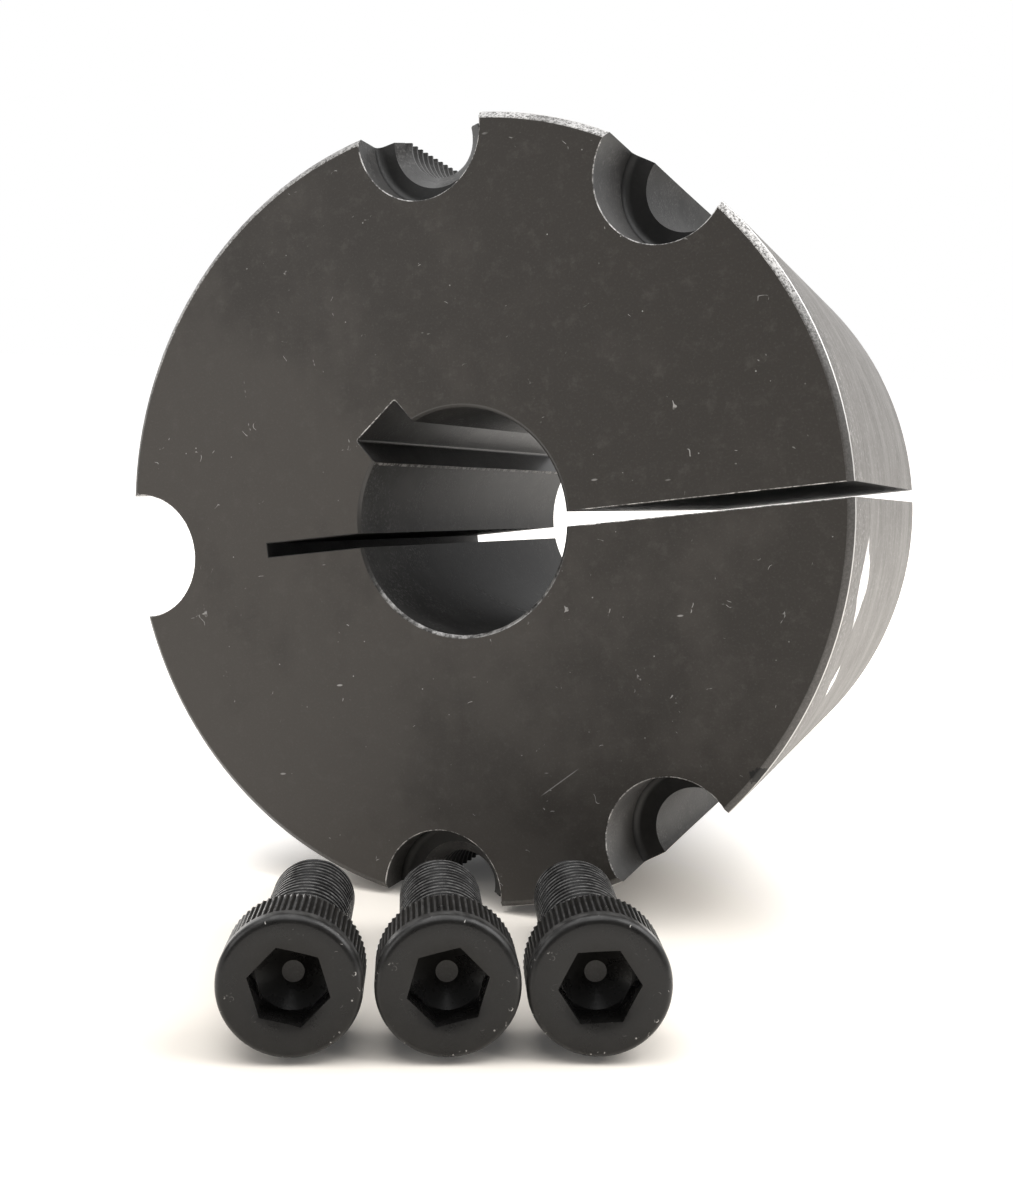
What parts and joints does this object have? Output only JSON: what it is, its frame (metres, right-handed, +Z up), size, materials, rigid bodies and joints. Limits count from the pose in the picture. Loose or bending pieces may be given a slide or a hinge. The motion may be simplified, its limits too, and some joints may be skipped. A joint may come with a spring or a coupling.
{
  "type": "taper lock bushing",
  "caption": "Split tapered bushing with a keyed bore and half-round screw notches in its rim, resting on a table with its socket head cap screws lying in front of it.",
  "frame": {"origin": "on the table under the middle of the whole set: the bushing and the screws in front of it", "axes": "+Z up from the table; the bushing's large end faces -Y and leans back 4 degrees; +X to the right as seen from the large end"},
  "size_m": [0.127, 0.1686, 0.1267],
  "materials": {
    "bushing": "dark phosphate on the end faces and in the bore, with the taper ground to bare grey metal",
    "cap_screw": "black oxide, with the edges worn a little lighter"
  },
  "bodies": {
    "root": {"bushing": "bushing", "cap_screw_left": "cap_screw", "cap_screw_middle": "cap_screw", "cap_screw_right": "cap_screw"}
  },
  "joints": []
}
